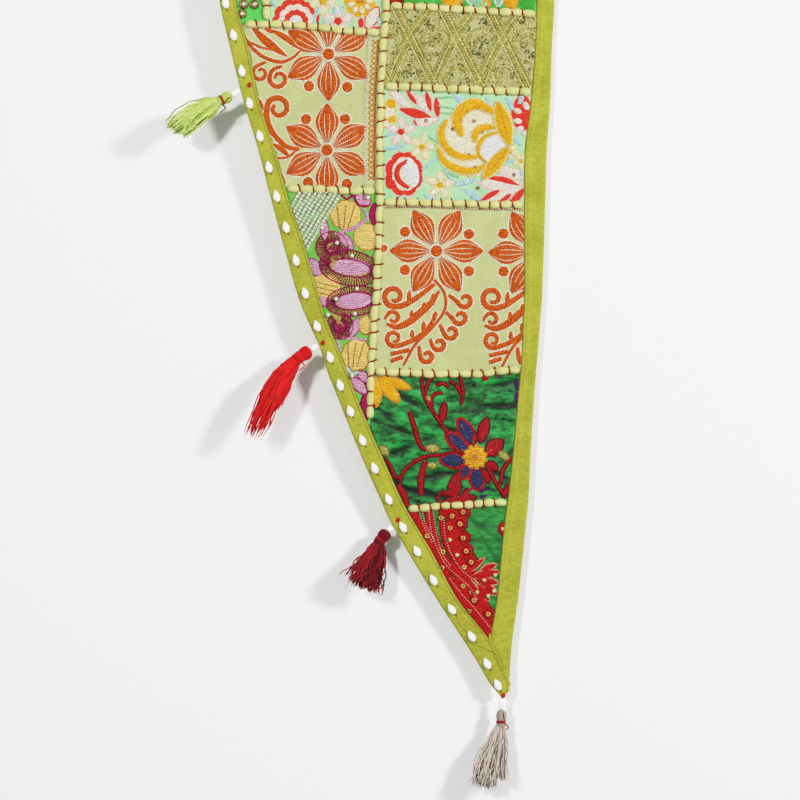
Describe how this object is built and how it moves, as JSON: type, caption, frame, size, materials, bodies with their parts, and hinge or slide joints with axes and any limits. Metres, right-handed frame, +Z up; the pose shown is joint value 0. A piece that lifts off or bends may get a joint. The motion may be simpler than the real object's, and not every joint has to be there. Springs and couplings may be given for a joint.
{
  "type": "patchwork toran",
  "caption": "Tapering patchwork drop of a toran: embroidered patches, couched cords, lime bindings, white shells and yarn tassels.",
  "frame": {"origin": "middle of the hanging's top edge, in the plane that the cloth hangs in", "axes": "+Z up, +X to the right seen from the room, -Y out of the wall towards the room"},
  "size_m": [0.3894, 0.028, 0.8774],
  "materials": {
    "lime_cotton": "plain woven cotton, topstitched",
    "bead_cloth": "bright green cloth with ring sequins",
    "mint_cotton": "mint cotton, machine embroidered",
    "green_satin": "green satin, embroidered",
    "sage_cotton": "sage cotton with satin stitch flowers",
    "olive_cotton": "olive cotton with chain stitch lattice",
    "leaf_cotton": "leaf green cotton with paisley stitching and seed beads",
    "emerald_cotton": "emerald cotton with couched bands and sequins",
    "rust_braid": "flat zigzag braid",
    "pale_cord": "rolled cotton cord with rust couching stitches",
    "white_shell": "polished white shell",
    "white_bead": "glossy white tube bead",
    "green_yarn": "soft light green yarn",
    "red_yarn": "soft red yarn",
    "maroon_yarn": "soft maroon yarn",
    "beige_yarn": "soft beige grey yarn"
  },
  "bodies": {
    "root": {"binding_left": "lime_cotton", "binding_right": "lime_cotton", "braid_trim": "rust_braid", "couched_column": "pale_cord", "couched_corner_upright": "pale_cord", "couched_mint_right": "pale_cord", "couched_mint_top": "pale_cord", "couched_olive": "pale_cord", "couched_sage_left": "pale_cord", "couched_sage_right": "pale_cord", "couched_satin": "pale_cord", "couched_satin_top": "pale_cord", "heading": "lime_cotton", "patch_bead_corner": "bead_cloth", "patch_green_satin": "green_satin", "patch_mint_right": "mint_cotton", "patch_mint_top": "mint_cotton", "patch_olive_lattice": "olive_cotton", "patch_paisley": "leaf_cotton", "patch_sage_left": "sage_cotton", "patch_sage_right": "sage_cotton", "patch_satin_top": "green_satin", "patch_tip": "emerald_cotton", "shell_01": "white_shell", "shell_02": "white_shell", "shell_03": "white_shell", "shell_04": "white_shell", "shell_05": "white_shell", "shell_06": "white_shell", "shell_07": "white_shell", "shell_08": "white_shell", "shell_09": "white_shell", "shell_10": "white_shell", "shell_11": "white_shell", "shell_12": "white_shell", "shell_13": "white_shell", "shell_14": "white_shell", "shell_15": "white_shell", "shell_16": "white_shell", "shell_17": "white_shell", "shell_18": "white_shell", "shell_19": "white_shell", "shell_20": "white_shell", "shell_21": "white_shell", "shell_22": "white_shell", "shell_23": "white_shell", "shell_24": "white_shell", "shell_25": "white_shell", "shell_26": "white_shell", "tassel_beige": "beige_yarn", "tassel_green": "green_yarn", "tassel_maroon": "maroon_yarn", "tassel_red": "red_yarn", "tube_bead_beige": "white_bead", "tube_bead_green": "white_bead", "tube_bead_maroon": "white_bead", "tube_bead_red": "white_bead"}
  },
  "joints": []
}
